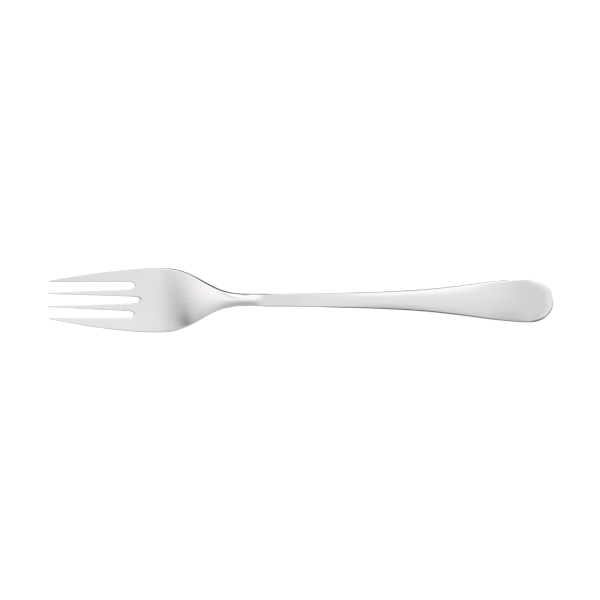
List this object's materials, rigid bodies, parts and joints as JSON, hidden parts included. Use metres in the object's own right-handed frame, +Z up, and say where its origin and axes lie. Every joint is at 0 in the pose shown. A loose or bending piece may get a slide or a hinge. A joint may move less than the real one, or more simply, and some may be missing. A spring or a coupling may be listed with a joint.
{
  "type": "fish fork",
  "caption": "Slim satin stainless-steel fish fork with a dished head, slender crowned neck and flat handle that widens to a rounded end",
  "frame": {"origin": "on the table, under the middle of the fork as it lies face up", "axes": "+X runs along the fork towards the end of the handle, +Y across it, +Z up from the table through the hollow front face"},
  "size_m": [0.1819, 0.0232, 0.0139],
  "materials": {
    "satin_steel": "satin ground faces with polished edges"
  },
  "bodies": {
    "root": {"tine_1": "satin_steel", "tine_2": "satin_steel", "tine_3": "satin_steel", "tine_4": "satin_steel", "palm": "satin_steel", "neck": "satin_steel", "shank": "satin_steel", "handle": "satin_steel"}
  },
  "joints": []
}
